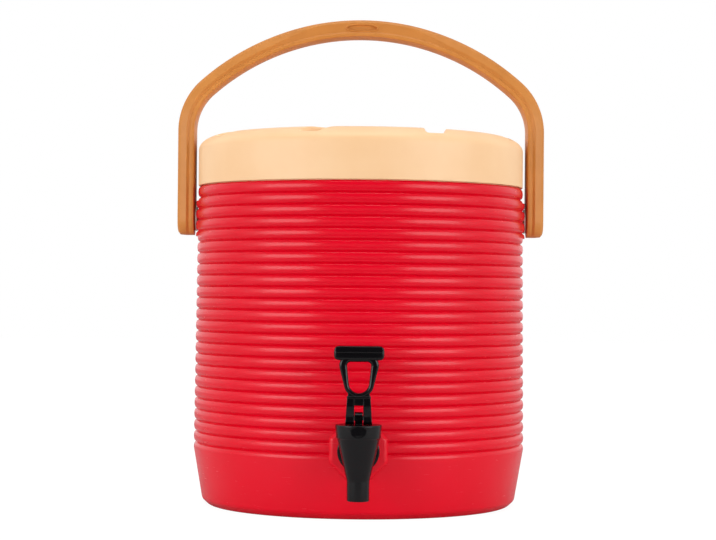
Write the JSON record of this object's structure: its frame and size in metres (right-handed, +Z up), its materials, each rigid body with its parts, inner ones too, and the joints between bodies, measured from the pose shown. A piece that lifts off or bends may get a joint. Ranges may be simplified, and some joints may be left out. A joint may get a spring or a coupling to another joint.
{
  "type": "insulated beverage dispenser",
  "caption": "Insulated drink barrel with a ribbed shell, steel vessel, screw lid with a vent, swinging carrying bail and a spring-closed lever tap.",
  "frame": {"origin": "middle of the ring that the barrel stands on, on the barrel's axis", "axes": "+Z up along the barrel's axis, -Y towards the tap, +X to the right of someone facing the tap"},
  "size_m": [0.3372, 0.3568, 0.4451],
  "materials": {
    "red_plastic": "satin",
    "beige_plastic": "satin",
    "white_plastic": "satin",
    "brown_plastic": "satin",
    "black_plastic": "satin",
    "stainless_sheet": "satin",
    "steel_hardware": "satin",
    "brass_inserts": "satin",
    "foam": "matte",
    "silicone": "matte",
    "black_rubber": "matte"
  },
  "bodies": {
    "barrel": {"outer_shell": "red_plastic", "foam_port_plug": "red_plastic", "insulation_foam": "foam", "inner_liner": "stainless_sheet", "rim_collar": "beige_plastic", "pivot_inserts": "brass_inserts", "pivot_screws": "steel_hardware", "pivot_washers": "white_plastic", "tap_body": "black_plastic", "tap_bonnet": "black_plastic", "shank_sleeve": "white_plastic", "tap_washer_outer": "black_rubber", "tap_washer_inner": "silicone", "shank_nut": "black_plastic"},
    "bail": {"bail_handle": "brown_plastic", "pivot_caps": "brown_plastic"},
    "lid_carrier": {"lid_seal": "silicone"},
    "lid": {"lid_cover": "beige_plastic", "lid_inner": "white_plastic", "lid_foam": "foam"},
    "vent": {"vent_plug": "beige_plastic", "vent_washer": "silicone"},
    "stem": {"tap_stem": "black_plastic", "seat_cup": "silicone", "stem_spring": "steel_hardware"},
    "lever": {"tap_lever": "black_plastic", "lever_pin": "steel_hardware"}
  },
  "joints": [
    {"name": "bail_swing", "type": "hinge", "parent": "barrel", "child": "bail", "pos_m": [0, 0, 0.26105], "axis": [1, 0, 0], "range_deg": [-108, 108]},
    {"name": "lid_lift", "type": "slide", "parent": "barrel", "child": "lid_carrier", "axis": [0, 0, 1], "range_m": [0, 0.0201]},
    {"name": "lid_turn", "type": "hinge", "parent": "lid_carrier", "child": "lid", "pos_m": [0, 0, 0.309], "axis": [0, 0, 1], "range_deg": [0, 240]},
    {"name": "vent_lift", "type": "slide", "parent": "lid", "child": "vent", "axis": [0, 0, 1], "range_m": [0, 0.006]},
    {"name": "stem_lift", "type": "slide", "parent": "barrel", "child": "stem", "axis": [0, 0, 1], "range_m": [0, 0.0051], "deforming": ["stem_spring"]},
    {"name": "lever_tilt", "type": "hinge", "parent": "stem", "child": "lever", "pos_m": [0, -0.1857, 0.09], "axis": [1, 0, 0], "range_deg": [0, 45], "stiffness_Nm_per_rad": 0.03, "springref_deg": -14.9}
  ],
  "couplings": [
    {"joint": "lid_lift", "follows": "lid_turn", "m_per_rad": 0.0047746},
    {"joint": "stem_lift", "follows": "lever_tilt", "m_per_rad": 0.0063662}
  ]
}
